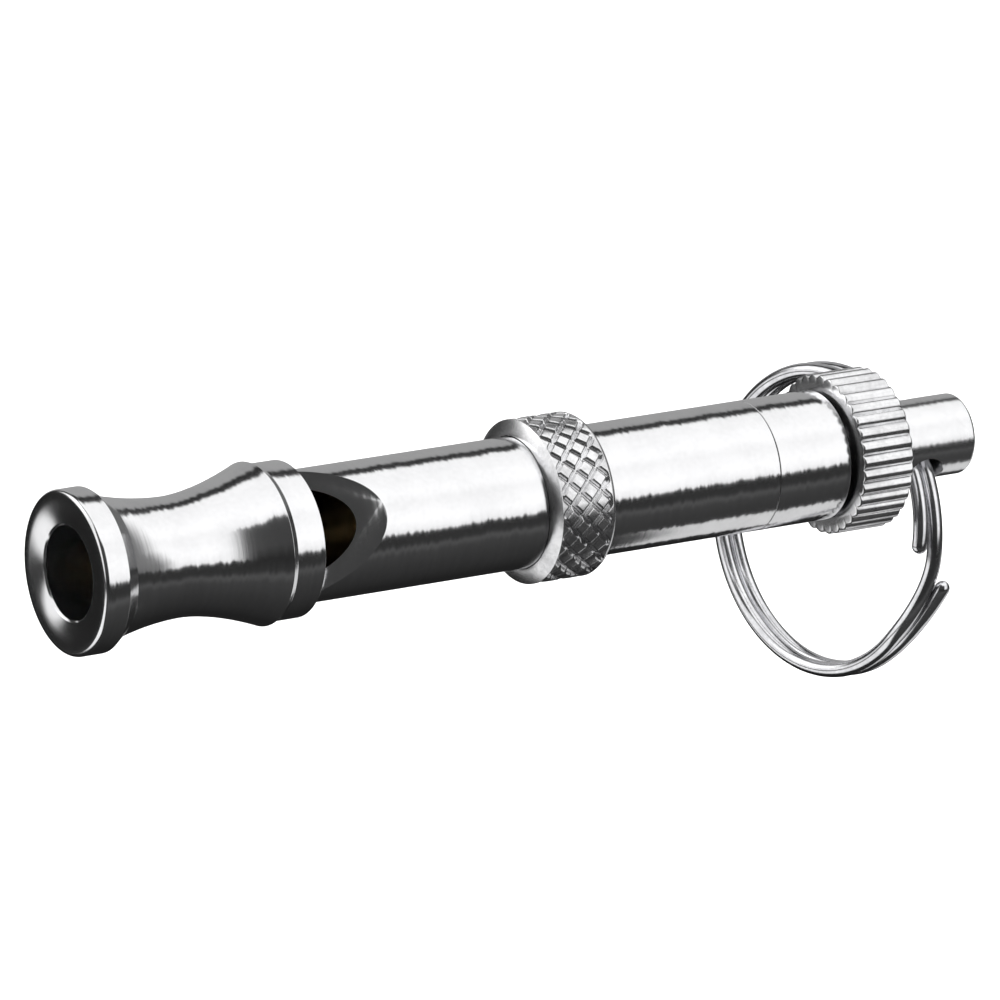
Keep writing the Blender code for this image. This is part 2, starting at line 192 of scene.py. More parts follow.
# Camera.
CAMERA_AZIMUTH = math.radians(-32.235)
CAMERA_ELEVATION = math.radians(14.561)
CAMERA_DISTANCE = 0.650
CAMERA_TARGET = Vector((-0.0023, 0.0, 0.0))
CAMERA_LENS = 355.0
CAMERA_SHIFT = (-0.0129, 0.0027)
CAMERA_CLIP = 0.01

# Floor.
FLOOR_DROP = 45.0 * MM
FLOOR_HALF = 3.0
FLOOR_COLOR = (0.9, 0.9, 0.9, 1.0)
FLOOR_ROUGHNESS = 0.9

# Light levels the metal reflects; the gradient and the room go by degrees round the whistle's axis.
SOFTBOX_LIGHT = 1.08
SOFTBOX_SPAN = (140.0, 0.1)
SOFTBOX_GRADIENT = ((0.0, 0.86), (0.2, 1.0), (0.42, 0.9), (0.55, 1.0), (0.8, 0.93))
ROOM_LIGHT = (
    (-180.0, 0.015),
    (-120.0, 0.015),
    (-70.0, 0.035),
    (-44.0, 0.05),
    (-34.0, 0.085),
    (-27.0, 0.035),
    (-8.0, 0.02),
    (10.0, 0.05),
    (60.0, 0.05),
    (112.0, 0.02),
)
WALL_LIGHT = 0.33
FAR_END_LIGHT = 0.13
PANEL_LIGHT = 0.95

# Edges of the studio's lit areas, as the value where each begins and the width over which it fades. The
# lower and upper edges, OVERHEAD and LEVEL are in degrees round the axis. The others, and the two leans that
# shift an edge, are a part of the direction's unit vector.
SOFTBOX_LOWER = (-8.0, 2.5)
SOFTBOX_UPPER = (117.0, 4.0)
SOFTBOX_LEFT = (0.02, 0.1)
SOFTBOX_RIGHT = (0.75, 0.08)
OVERHEAD = (42.0, 12.0)
OVERHEAD_LEAN = 0.45
LEVEL = (4.0, 30.0)
LEVEL_LEAN = 0.08
WALL_LOWER = (133.0, 5.0)
WALL_UPPER = (-158.0, 8.0)
WALL_LEFT = (-0.02, 0.06)
WALL_RIGHT = (0.7, 0.06)
FAR_END_LEFT = (0.7, 0.08)
FAR_END_RIGHT = (0.93, 0.04)
REAR_LOWER = (118.0, 10.0)
REAR_UPPER = (158.0, 6.0)
REAR_LEFT = (-0.85, 0.1)
REAR_RIGHT = (-0.34, 0.1)
FRONT_EDGE = (-0.54, 0.05)
FRONT_NEAR = (-0.15, 0.1)
FRONT_FAR = (0.75, 0.06)
FRONT_GAP_DEPTH = 0.215
FRONT_GAP = (0.05, 0.04)

# Lamps: name, place from the object's middle, size in x and y, energy, and whether the metal reflects it.
LAMPS = (
    ("key", Vector((-0.1, -0.5, 0.9)), (0.9, 0.9), 14.0, False),
    ("fill", Vector((0.5, 0.6, 0.7)), (0.8, 0.8), 9.0, False),
    ("under_panel", Vector((0.13, 0.0, -0.055)), (0.17, 0.042), 0.0145, True),
)


# ---------------------------------------------------------------------------------------------- meshes


def rounded(profile, radius, closed):
    """The profile with each corner replaced by a short arc of about this radius."""
    points = [Vector(p) for p in profile]
    count = len(points)
    out = []
    for index, point in enumerate(points):
        if not closed and index in (0, count - 1):
            out.append(point)
            continue
        back = points[index - 1] - point
        ahead = points[(index + 1) % count] - point
        turn = math.pi - back.angle(ahead, math.pi)
        cut = min(radius * math.tan(0.5 * turn), 0.45 * back.length, 0.45 * ahead.length)
        if turn < LEAST_TURN:
            out.append(point)
            continue
        start = point + back.normalized() * cut
        end = point + ahead.normalized() * cut
        for step in range(CORNER_STEPS + 1):
            part = step / CORNER_STEPS
            out.append(start * (1 - part) ** 2 + point * 2 * part * (1 - part) + end * part**2)
    return out


def mesh_object(name, vertices, faces):
    mesh = bpy.data.meshes.new(name)
    mesh.from_pydata(vertices, [], faces)
    tidy = bmesh.new()
    tidy.from_mesh(mesh)
    bmesh.ops.remove_doubles(tidy, verts=tidy.verts, dist=MERGE_DISTANCE)
    bmesh.ops.recalc_face_normals(tidy, faces=tidy.faces)
    tidy.to_mesh(mesh)
    tidy.free()
    shade(mesh)
    obj = bpy.data.objects.new(name, mesh)
    bpy.context.scene.collection.objects.link(obj)
    return obj


def shade(mesh):
    mesh.polygons.foreach_set("use_smooth", [True] * len(mesh.polygons))
    mesh.set_sharp_from_angle(angle=SHARP_ANGLE)


def grid_faces(rows, columns, close_rows=False):
    """Quads of a grid whose columns close round; its rows close too for a loop profile."""
    faces = []
    for row in range(rows if close_rows else rows - 1):
        following = (row + 1) % rows
        for column in range(columns):
            beside = (column + 1) % columns
            faces.append((row * columns + column, row * columns + beside,
                          following * columns + beside, following * columns + column))
    return faces


def circle(distance, radius, steps):
    """Points of a circle about X, counted from +Y towards +Z."""
    angles = [TAU * step / steps for step in range(steps)]
    return [(distance, radius * math.cos(angle), radius * math.sin(angle)) for angle in angles]


def turned(name, profile, corner=CORNER_RADIUS, closed=True, origin=0.0):
    """A lathe-turned piece about X from (distance, radius) points, with every corner slightly rounded."""
    outline = rounded(profile, corner, closed)
    vertices = []
    for distance, radius in outline:
        vertices += circle(origin + distance, radius, ROUND_STEPS)
    return mesh_object(name, vertices, grid_faces(len(outline), ROUND_STEPS, closed))


def arc(center, radius, start_degrees, end_degrees, count):
    points = []
    for index in range(count + 1):
        angle = math.radians(start_degrees + (end_degrees - start_degrees) * index / count)
        points.append((center[0] + radius * math.cos(angle), center[1] + radius * math.sin(angle)))
    return points


def cut_away(obj, cutter):
    """Subtract the cutter for good, then remove it."""
    boolean = obj.modifiers.new("cut", "BOOLEAN")
    boolean.operation = "DIFFERENCE"
    boolean.solver = "EXACT"
    boolean.object = cutter
    graph = bpy.context.evaluated_depsgraph_get()
    made = bpy.data.meshes.new_from_object(obj.evaluated_get(graph))
    obj.modifiers.remove(boolean)
    obj.data = made
    bpy.data.objects.remove(cutter, do_unlink=True)


def lathe_normals(obj, radii):
    """True round normals on the turned faces at these radii, so a cut leaves no mark in the reflections."""
    mesh = obj.data
    shade(mesh)
    normals = [Vector(corner.vector) for corner in mesh.corner_normals]
    for face in mesh.polygons:
        middle = face.center
        radial = Vector((0.0, middle.y, middle.z)).normalized()
        if abs(face.normal.dot(radial)) < LATHE_ALIGNMENT:
            continue
        sign = 1.0 if face.normal.dot(radial) > 0.0 else -1.0
        for loop in face.loop_indices:
            place = mesh.vertices[mesh.loops[loop].vertex_index].co
            distance = math.hypot(place.y, place.z)
            if min(abs(distance - radius) for radius in radii) < LATHE_TOLERANCE:
                normals[loop] = sign * Vector((0.0, place.y, place.z)).normalized()
    mesh.normals_split_custom_set(normals)


# ------------------------------------------------------------------------------------- body of the whistle


def make_mouthpiece(lip):
    """Front lip with its dished blow face, the hourglass waist, the rear ridge and the rear band."""
    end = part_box("mouthpiece")[1].x - lip
    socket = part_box("body_tube")[0].x - lip
    profile = [
        (end, TUBE_RADIUS + FIT_GAP),
        (end, TUBE_RADIUS + REAR_STEP),
        (REAR_BAND_END, REAR_BAND_RADIUS),
        (REAR_BAND_START, REAR_BAND_RADIUS),
    ]
    for index in range(WAIST_STEPS + 1):
        part = 1.0 - index / WAIST_STEPS
        rise = (WAIST_REAR[1] - WAIST_RADIUS) * part**WAIST_REAR_POWER
        profile.append((WAIST_MIDDLE + (WAIST_REAR[0] - WAIST_MIDDLE) * part, WAIST_RADIUS + rise))
    for index in range(1, WAIST_STEPS + 1):
        part = index / WAIST_STEPS
        rise = (WAIST_FRONT[1] - WAIST_RADIUS) * part**WAIST_FRONT_POWER
        profile.append((WAIST_MIDDLE - (WAIST_MIDDLE - WAIST_FRONT[0]) * part, WAIST_RADIUS + rise))
    profile.append((FLANGE_END, FLANGE_RADIUS))
    profile += arc((LIP_ROUND, FLANGE_RADIUS - LIP_ROUND), LIP_ROUND, 90.0, 180.0, LIP_STEPS)
    profile += [
        (0.0, DISH_RADIUS),
        (DISH_DEPTH, MOUTH_BORE + BORE_CHAMFER),
        (DISH_DEPTH + BORE_CHAMFER, MOUTH_BORE),
        (socket, MOUTH_BORE),
        (socket, TUBE_RADIUS + FIT_GAP),
    ]
    return turned("mouthpiece_shell", profile, origin=lip)


def window_cutter(lip):
    """A sheared box: its underside is the slanted blow face, its end stands square to the axis."""
    size = WINDOW_CUTTER_SIZE
    slope = WINDOW_DEPTH / WINDOW_LENGTH
    box = bmesh.new()
    bmesh.ops.create_cube(box, size=1.0)
    for vertex in box.verts:
        vertex.co = Vector((vertex.co.x * size.x, vertex.co.y * size.y, vertex.co.z * size.z))
        vertex.co.x += 0.5 * size.x
        vertex.co.z += 0.5 * size.z + slope * vertex.co.x
    mesh = bpy.data.meshes.new("window_cutter")
    box.to_mesh(mesh)
    box.free()
    cutter = bpy.data.objects.new("window_cutter", mesh)
    bpy.context.scene.collection.objects.link(cutter)
    side = Matrix.Rotation(math.radians(90.0) - WINDOW_TURN, 4, "X")
    height = Matrix.Translation((0.0, 0.0, TUBE_RADIUS - WINDOW_DEPTH))
    cutter.matrix_world = Matrix.Translation((lip + WINDOW_START, 0.0, 0.0)) @ side @ height
    bpy.context.view_layer.update()
    return cutter


def make_body_tube(lip):
    low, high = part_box("body_tube")
    profile = [
        (high.x, TUBE_BORE),
        (high.x, TUBE_RADIUS - SEAM_CHAMFER),
        (high.x - SEAM_CHAMFER, TUBE_RADIUS),
        (low.x, TUBE_RADIUS),
        (low.x, TUBE_BORE),
    ]
    tube = turned("tube_shell", profile)
    cut_away(tube, window_cutter(lip))
    lathe_normals(tube, (TUBE_RADIUS, TUBE_BORE))
    return tube


def make_end_bush():
    low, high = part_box("end_bush")
    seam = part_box("body_tube")[1].x + FIT_GAP
    bore = THREAD_RADIUS + FIT_GAP
    spigot = TUBE_BORE - FIT_GAP
    profile = [
        (high.x, bore),
        (high.x, TUBE_RADIUS - BUSH_CHAMFER),
        (high.x - BUSH_CHAMFER, TUBE_RADIUS),
        (seam + SEAM_CHAMFER, TUBE_RADIUS),
        (seam, TUBE_RADIUS - SEAM_CHAMFER),
        (seam, spigot),
        (low.x, spigot),
        (low.x, bore),
    ]
    return turned("bush_shell", profile)


def knurl_drop(angle, distance, start, end):
    """How far the knurled surface lies under its crests: two families of grooves at 45 degrees."""
    pitch = TAU * GRIP_RADIUS / KNURL_STARTS
    inset = min(distance - start, end - distance) - KNURL_MARGIN
    fade = min(max(inset / KNURL_FADE, 0.0), 1.0)
    deepest = 0.0
    for lean in (1.0, -1.0):
        phase = KNURL_STARTS * angle / TAU + lean * (distance - start) / pitch
        off = abs(phase - math.floor(phase) - 0.5) / 0.5
        groove = min(max((off - (1.0 - KNURL_GROOVE)) / KNURL_GROOVE, 0.0), 1.0)
        crown = KNURL_CROWN * off * off
        deepest = max(deepest, min(groove * KNURL_FLANK, 1.0) + crown * (1.0 - groove))
    return KNURL_DEPTH * fade * min(deepest, 1.0)


def make_grip_band():
    """The raised band: a steep slope in front, a bevelled rim behind, and the diamond knurl between them."""
    low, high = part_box("grip_band")
    bore = TUBE_RADIUS + FIT_GAP
    columns = KNURL_STARTS * KNURL_COLUMNS
    first = low.x + GRIP_RAMP
    last = high.x - GRIP_RIM
    profile = [
        (low.x, bore),
        (low.x, bore + GRIP_FOOT),
        (low.x + GRIP_STEEP[0], bore + GRIP_STEEP[1]),
    ]
    for row in range(KNURL_ROWS + 1):
        profile.append((first + (last - first) * row / KNURL_ROWS, GRIP_RADIUS))
    profile += [
        (high.x - 0.4 * GRIP_RIM, GRIP_RADIUS - 0.3 * GRIP_RIM),
        (high.x, GRIP_RADIUS - GRIP_RIM),
        (high.x, bore),
    ]
    vertices = []
    for distance, radius in profile:
        for column in range(columns):
            angle = TAU * column / columns
            drop = knurl_drop(angle, distance, first, last) if radius == GRIP_RADIUS else 0.0
            place = radius - drop
            vertices.append((distance, place * math.cos(angle), place * math.sin(angle)))
    return mesh_object("knurled_band", vertices, grid_faces(len(profile), columns, True))


# ------------------------------------------------------------------------------------ nut, screw and ring


def make_lock_nut():
    """Rounded straight serrations that run out into a chamfer at both ends."""
    low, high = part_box("lock_nut")
    bore = THREAD_RADIUS + FIT_GAP
    columns = NUT_TEETH * NUT_TOOTH_COLUMNS
    inner = NUT_RADIUS - NUT_CHAMFER
    stations = [
        (low.x, bore, 0.0),
        (low.x, inner - NUT_FACE_RUN, 0.0),
        (low.x, inner, NUT_FACE_DEPTH),
    ]
    for step in range(1, NUT_CHAMFER_STEPS + 1):
        part = step / NUT_CHAMFER_STEPS
        angle = 0.5 * math.pi * part
        distance = low.x + NUT_CHAMFER * (1.0 - math.cos(angle))
        radius = NUT_RADIUS - NUT_CHAMFER * (1.0 - math.sin(angle))
        stations.append((distance, radius, NUT_EDGE_DEPTH + (1.0 - NUT_EDGE_DEPTH) * part))
    for distance, radius, depth in reversed(stations[1:]):
        stations.append((low.x + high.x - distance, radius, depth))
    stations.append((high.x, bore, 0.0))
    vertices = []
    for distance, radius, depth in stations:
        for column in range(columns):
            angle = TAU * column / columns
            wave = abs(math.sin(0.5 * NUT_TEETH * angle))
            place = radius - NUT_TOOTH_DEPTH * depth * (1.0 - wave**NUT_TOOTH_POWER)
            vertices.append((distance, place * math.cos(angle), place * math.sin(angle)))
    return mesh_object("serrated_nut", vertices, grid_faces(len(stations), columns, True))


def hole_direction():
    return Vector((0.0, -math.cos(HOLE_ANGLE), -math.sin(HOLE_ANGLE)))


def capped_faces(rows, columns):
    """Quads of an open grid, with a face over its first and its last row."""
    faces = grid_faces(rows, columns)
    faces.append(tuple(range(columns)))
    faces.append(tuple(range((rows - 1) * columns, rows * columns)))
    return faces


def hole_cutter(center):
    """A rod with a small countersink at each end, along the split ring's hole."""
    edge = math.sqrt(HEAD_RADIUS**2 - HOLE_RADIUS**2)
    half_outline = [
        (HOLE_HALF_LENGTH, HOLE_RADIUS + HOLE_SPREAD),
        (edge + HOLE_FLARE, HOLE_RADIUS + 0.5 * HOLE_FLARE),
        (edge - HOLE_FLARE, HOLE_RADIUS),
    ]
    outline = [(-height, radius) for height, radius in half_outline]
    outline += reversed(half_outline)
    vertices = []
    for height, radius in outline:
        vertices += [(x, y, height) for _, x, y in circle(height, radius, HOLE_STEPS)]
    cutter = mesh_object("hole_cutter", vertices, capped_faces(len(outline), HOLE_STEPS))
    turn = hole_direction().to_track_quat("Z", "X").to_matrix().to_4x4()
    cutter.matrix_world = Matrix.Translation((center, 0.0, 0.0)) @ turn
    bpy.context.view_layer.update()
    return cutter


def make_screw_head():
    """The plain round head with its cross hole."""
    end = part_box("tuning_screw")[1].x
    start = end - HEAD_LENGTH
    profile = [(end, 0.0), (end, HEAD_RADIUS - HEAD_ROUND)]
    corner = (end - HEAD_ROUND, HEAD_RADIUS - HEAD_ROUND)
    profile += arc(corner, HEAD_ROUND, 0.0, 90.0, HEAD_ROUND_STEPS)[1:]
    profile += [(start + HEAD_CHAMFER, HEAD_RADIUS), (start, HEAD_RADIUS - HEAD_CHAMFER), (start, 0.0)]
    head = turned("screw_head", profile, corner=HEAD_CORNER, closed=False)
    cut_away(head, hole_cutter(end - HOLE_FROM_END))
    lathe_normals(head, (HEAD_RADIUS,))
    return head


def thread_radius(phase):
    """Radius of a V thread with a flat crest and a flat root; phase 0 is the middle of the root."""
    off = abs(phase - math.floor(phase + 0.5)) / 0.5
    flank = min(max((off - THREAD_ROOT) / THREAD_FLANK, 0.0), 1.0)
    return THREAD_RADIUS - THREAD_DEPTH * (1.0 - flank)


def thread_vertices(shoulder, head_start, rows):
    """The threaded part's rings of points, from its lead-in at the shoulder to the head."""
    vertices = []
    for row in range(rows + 1):
        distance = shoulder + (head_start - shoulder) * row / rows
        lead_in = min((distance - shoulder) / THREAD_LEAD_IN, 1.0)
        limit = THREAD_RADIUS - THREAD_LEAD_IN * (1.0 - lead_in)
        for step in range(SHANK_STEPS):
            turn = step / SHANK_STEPS
            radius = min(thread_radius(distance / THREAD_PITCH - turn), limit)
            vertices.append((distance, radius * math.cos(TAU * turn), radius * math.sin(TAU * turn)))
    return vertices


def make_screw_shank():
    """The threaded shank with its helical M5 thread, and the grooved journal that turns in the piston."""
    head_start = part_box("tuning_screw")[1].x - HEAD_LENGTH
    journal_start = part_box("tuning_screw")[0].x
    piston_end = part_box("piston")[1].x
    shoulder = piston_end + SHOULDER_GAP
    rows = int((head_start - shoulder) / THREAD_PITCH * THREAD_ROWS)
    vertices = thread_vertices(shoulder, head_start, rows)
    faces = grid_faces(rows + 1, SHANK_STEPS)
    groove = piston_end - GROOVE_FROM_PISTON
    outline = [
        (shoulder, JOURNAL_RADIUS),
        (groove + GROOVE_HALF_WIDTH, JOURNAL_RADIUS),
        (groove + GROOVE_HALF_WIDTH, GROOVE_RADIUS),
        (groove - GROOVE_HALF_WIDTH, GROOVE_RADIUS),
        (groove - GROOVE_HALF_WIDTH, JOURNAL_RADIUS),
        (journal_start, JOURNAL_RADIUS),
        (journal_start, 0.0),
    ]
    first = len(vertices)
    for distance, radius in outline:
        vertices += circle(distance, radius, SHANK_STEPS)
    for face in grid_faces(len(outline), SHANK_STEPS):
        faces.append(tuple(first + index for index in face))
    for step in range(SHANK_STEPS):
        beside = (step + 1) % SHANK_STEPS
        faces.append((step, beside, first + beside, first + step))
    return mesh_object("screw_shank", vertices, faces)


def smooth_step(low, high, value):
    part = min(max((value - low) / (high - low), 0.0), 1.0)
    return part * part * (3.0 - 2.0 * part)


def ring_vectors():
    """Vectors of the split ring at rest: from the hole to its centre, along the hole, and its own axis."""
    across = hole_direction()
    outward = Vector((1.0, 0.0, 0.0)).cross(across)
    if outward.y < 0.0:
        outward = -outward
    to_center = math.cos(RING_LEAN) * outward - math.sin(RING_LEAN) * Vector((1.0, 0.0, 0.0))
    square = math.cos(RING_LEAN) * Vector((1.0, 0.0, 0.0)) + math.sin(RING_LEAN) * outward
    ring_axis = math.cos(RING_SKEW) * square + math.sin(RING_SKEW) * across
    tangent = math.cos(RING_SKEW) * across - math.sin(RING_SKEW) * square
    return to_center, tangent, ring_axis


def ring_point(degrees, vectors):
    """A point of the wire's centre line, relative to the hole's centre."""
    to_center, tangent, ring_axis = vectors
    place = RING_FIRST_END - degrees
    crossing = smooth_step(RING_CROSS_LOW, RING_CROSS_HIGH, place + 360.0)
    side = RING_LAYER * (crossing * 2.0 - 1.0)
    spring = max((RING_SPRING_LOW - (place + 720.0)) / (RING_SPRING_LOW - RING_SECOND_END), 0.0) ** 2
    lift = max((place - RING_LIFT_START) / (RING_FIRST_END - RING_LIFT_START), 0.0) ** 2
    side += RING_SPRING_SIDE * spring - RING_LIFT_SIDE * lift
    radius = RING_RADIUS + RING_SPRING_OUT * spring
    turn = math.radians(place)
    center = (RING_RADIUS - RING_SIT) * to_center
    return center + radius * (math.sin(turn) * tangent - math.cos(turn) * to_center) + side * ring_axis


def ring_places():
    """Degrees along the wire and the wire's relative thickness there, which shrinks at its rounded ends."""
    total = 720.0 + RING_FIRST_END - RING_SECOND_END
    cap = math.degrees(RING_WIRE / RING_RADIUS)
    places = []
    for step in range(RING_END_STEPS):
        angle = 0.5 * math.pi * step / RING_END_STEPS
        places.append((cap * (1.0 - math.cos(angle)), max(math.sin(angle), RING_TIP_SIZE)))
    for step in range(RING_STATIONS + 1):
        places.append((cap + (total - 2.0 * cap) * step / RING_STATIONS, 1.0))
    for degrees, size in reversed(places[:RING_END_STEPS]):
        places.append((total - degrees, size))
    return places


def make_split_ring():
    """Two turns of round wire with rounded ends, threaded through the screw's cross hole."""
    vectors = ring_vectors()
    ring_axis = vectors[2]
    hole = Vector((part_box("tuning_screw")[1].x - HOLE_FROM_END, 0.0, 0.0))
    places = ring_places()
    vertices = []
    for degrees, size in places:
        center = ring_point(degrees, vectors)
        after = ring_point(degrees + RING_AHEAD, vectors)
        ahead = (after - ring_point(degrees - RING_AHEAD, vectors)).normalized()
        side = ring_axis - ahead * ring_axis.dot(ahead)
        side.normalize()
        up = ahead.cross(side)
        for corner in range(RING_SIDES):
            angle = TAU * corner / RING_SIDES
            around = math.cos(angle) * side + math.sin(angle) * up
            vertices.append(hole + center + RING_WIRE * size * around)
    return mesh_object("ring_wire", vertices, capped_faces(len(places), RING_SIDES))


# ------------------------------------------------------------------------------------------- materials


def add_node(tree, kind, **values):
    node = tree.nodes.new(kind)
    for name, value in values.items():
        setattr(node, name, value)
    return node


def add_math(tree, operation, *inputs, clamp=False):
    node = add_node(tree, "ShaderNodeMath", operation=operation, use_clamp=clamp)
    for index, value in enumerate(inputs):
        if isinstance(value, (int, float)):
            node.inputs[index].default_value = value
        else:
            tree.links.new(value, node.inputs[index])
    return node.outputs[0]


def add_noise(tree, scale, detail, stretch):
    """Object-space noise; stretch squeezes it along an axis, so lathe marks run round the piece."""
    place = add_node(tree, "ShaderNodeTexCoord")
    mapping = add_node(tree, "ShaderNodeMapping")
    mapping.inputs["Scale"].default_value = stretch
    tree.links.new(place.outputs["Object"], mapping.inputs["Vector"])
    noise = add_node(tree, "ShaderNodeTexNoise")
    noise.inputs["Scale"].default_value = scale
    noise.inputs["Detail"].default_value = detail
    tree.links.new(mapping.outputs["Vector"], noise.inputs["Vector"])
    return noise.outputs["Fac"]


def add_vector_math(tree, operation, *inputs):
    node = add_node(tree, "ShaderNodeVectorMath", operation=operation)
    for index, value in enumerate(inputs):
        if isinstance(value, tuple):
            node.inputs[index].default_value = value
        else:
            tree.links.new(value, node.inputs[index])
    return node.outputs["Vector"]


def add_chatter(tree, amount):
    """A normal that rocks slightly about the turning axis, ring by ring, so reflections have ragged edges."""
    facing = add_node(tree, "ShaderNodeNewGeometry").outputs["Normal"]
    coarse = add_noise(tree, CHATTER_SCALE, 5.0, CHATTER_SQUEEZE)
    rocking = add_math(tree, "MULTIPLY_ADD", coarse, 2.0 * amount, -amount)
    around = add_vector_math(tree, "CROSS_PRODUCT", (1.0, 0.0, 0.0), facing)
    spread = add_node(tree, "ShaderNodeCombineXYZ")
    for socket in spread.inputs:
        tree.links.new(rocking, socket)
    tilt = add_vector_math(tree, "MULTIPLY", around, spread.outputs[0])
    return add_vector_math(tree, "NORMALIZE", add_vector_math(tree, "ADD", facing, tilt))


def add_ramp(tree, value, stops):
    ramp = add_node(tree, "ShaderNodeValToRGB")
    elements = ramp.color_ramp.elements
    for index, (place, color) in enumerate(stops):
        element = elements[index] if index < 2 else elements.new(place)
        element.position = place
        element.color = (*color, 1.0)
    tree.links.new(value, ramp.inputs["Fac"])
    return ramp.outputs["Color"]


def add_bump(tree, height, strength, distance, normal=None):
    bump = add_node(tree, "ShaderNodeBump")
    bump.inputs["Strength"].default_value = strength
    bump.inputs["Distance"].default_value = distance
    tree.links.new(height, bump.inputs["Height"])
    if normal:
        tree.links.new(normal, bump.inputs["Normal"])
    return bump.outputs["Normal"]


def new_material(name):
    material = bpy.data.materials.new(name)
    material.use_nodes = True
    return material, material.node_tree, material.node_tree.nodes["Principled BSDF"]


def plated_metal(name, color, tarnish, roughness, marks, marks_scale, chatter=0.0):
    """Polished plate: fine lathe marks, soft cloudy tarnish, and small worn or handled patches."""
    material, tree, shader = new_material(name)
    shader.inputs["Metallic"].default_value = 1.0
    lathe = add_noise(tree, marks_scale, 3.0, MARKS_SQUEEZE)
    cloud = add_noise(tree, CLOUD_SCALE, 4.0, EVEN)
    speck = add_noise(tree, SPECK_SCALE, 3.0, EVEN)
    specks = add_math(tree, "MULTIPLY", speck, 1.0 - CLOUD_SHARE)
    stain = add_math(tree, "MULTIPLY_ADD", cloud, CLOUD_SHARE, specks)
    tinted = add_ramp(tree, stain, zip(TARNISH_STOPS, (tarnish, color)))
    tree.links.new(tinted, shader.inputs["Base Color"])
    low, high = roughness
    rough = add_math(tree, "MULTIPLY_ADD", stain, CLOUD_ROUGHNESS * (low - high), high)
    rough = add_math(tree, "MULTIPLY_ADD", lathe, MARKS_ROUGHNESS * (high - low), rough)
    tree.links.new(rough, shader.inputs["Roughness"])
    rocked = add_chatter(tree, chatter) if chatter else None
    turned_normal = add_bump(tree, lathe, marks, MARKS_HEIGHT, rocked)
    normal = add_bump(tree, cloud, RIPPLE_STRENGTH, RIPPLE_HEIGHT, turned_normal)
    tree.links.new(normal, shader.inputs["Normal"])
    return material


def matte_rubber(name):
    material, tree, shader = new_material(name)
    grain = add_noise(tree, RUBBER_SCALE, 3.0, EVEN)
    tree.links.new(add_ramp(tree, grain, RUBBER_STOPS), shader.inputs["Base Color"])
    lowest, spread = RUBBER_ROUGHNESS
    rough = add_math(tree, "MULTIPLY_ADD", grain, spread, lowest)
    tree.links.new(rough, shader.inputs["Roughness"])
    normal = add_bump(tree, grain, RUBBER_STRENGTH, RUBBER_HEIGHT)
    tree.links.new(normal, shader.inputs["Normal"])
    return material


def finish_piece(piece, body, material, node=None):
    piece.data.materials.clear()
    piece.data.materials.append(material)
    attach(piece, body)
    if node:
        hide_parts(node)


# ------------------------------------------------------------------------------------- stage and light


def add_step(tree, value, start, width):
    """0 below start, 1 above start + width, straight between them."""
    return add_math(tree, "MULTIPLY_ADD", value, 1.0 / width, -start / width, clamp=True)


def add_inverse(tree, value):
    return add_math(tree, "SUBTRACT", 1.0, value)


def add_product(tree, *values):
    result = values[0]
    for value in values[1:]:
        result = add_math(tree, "MULTIPLY", result, value)
    return result


def gray_stops(levels, start=0.0, span=1.0):
    return [((place - start) / span, (level, level, level)) for place, level in levels]


def add_softbox(tree, degrees, x):
    """The long softbox over the near side; its left edge steps inward where it passes overhead."""
    lower = add_step(tree, degrees, *SOFTBOX_LOWER)
    upper = add_inverse(tree, add_step(tree, degrees, *SOFTBOX_UPPER))
    overhead = add_step(tree, degrees, *OVERHEAD)
    left = add_step(tree, add_math(tree, "MULTIPLY_ADD", overhead, OVERHEAD_LEAN, x), *SOFTBOX_LEFT)
    level = add_inverse(tree, add_step(tree, degrees, *LEVEL))
    right_edge = add_math(tree, "MULTIPLY_ADD", level, LEVEL_LEAN, x)
    right = add_inverse(tree, add_step(tree, right_edge, *SOFTBOX_RIGHT))
    span, start = SOFTBOX_SPAN
    along = add_math(tree, "MULTIPLY_ADD", degrees, 1.0 / span, start)
    falloff = add_ramp(tree, along, gray_stops(SOFTBOX_GRADIENT))
    return add_product(tree, lower, upper, left, right, falloff)


def add_back_wall(tree, degrees, x):
    """A dim wall behind the whistle, which its top edge reflects."""
    upper = add_inverse(tree, add_step(tree, degrees, *WALL_UPPER))
    behind = add_math(tree, "MAXIMUM", add_step(tree, degrees, *WALL_LOWER), upper)
    right = add_inverse(tree, add_step(tree, x, *WALL_RIGHT))
    return add_product(tree, behind, add_step(tree, x, *WALL_LEFT), right)


def add_far_end(tree, degrees, x):
    """A faint area past the softbox's right end."""
    right = add_inverse(tree, add_step(tree, x, *FAR_END_RIGHT))
    left = add_step(tree, x, *FAR_END_LEFT)
    return add_product(tree, add_step(tree, degrees, *SOFTBOX_LOWER), left, right)


def add_rear_box(tree, degrees, x):
    """A softbox behind, which lights the whistle's far side."""
    upper = add_inverse(tree, add_step(tree, degrees, *REAR_UPPER))
    right = add_inverse(tree, add_step(tree, x, *REAR_RIGHT))
    left = add_step(tree, x, *REAR_LEFT)
    return add_product(tree, add_step(tree, degrees, *REAR_LOWER), upper, left, right)


def add_front_panels(tree, x, y, z):
    """Two panels in front with a gap between them, which the dish round the mouth hole reflects."""
    ahead = add_inverse(tree, add_step(tree, x, *FRONT_EDGE))
    far = add_inverse(tree, add_step(tree, y, *FRONT_FAR))
    off_gap = add_math(tree, "ABSOLUTE", add_math(tree, "ADD", z, FRONT_GAP_DEPTH))
    return add_product(tree, ahead, add_step(tree, y, *FRONT_NEAR), far, add_step(tree, off_gap, *FRONT_GAP))


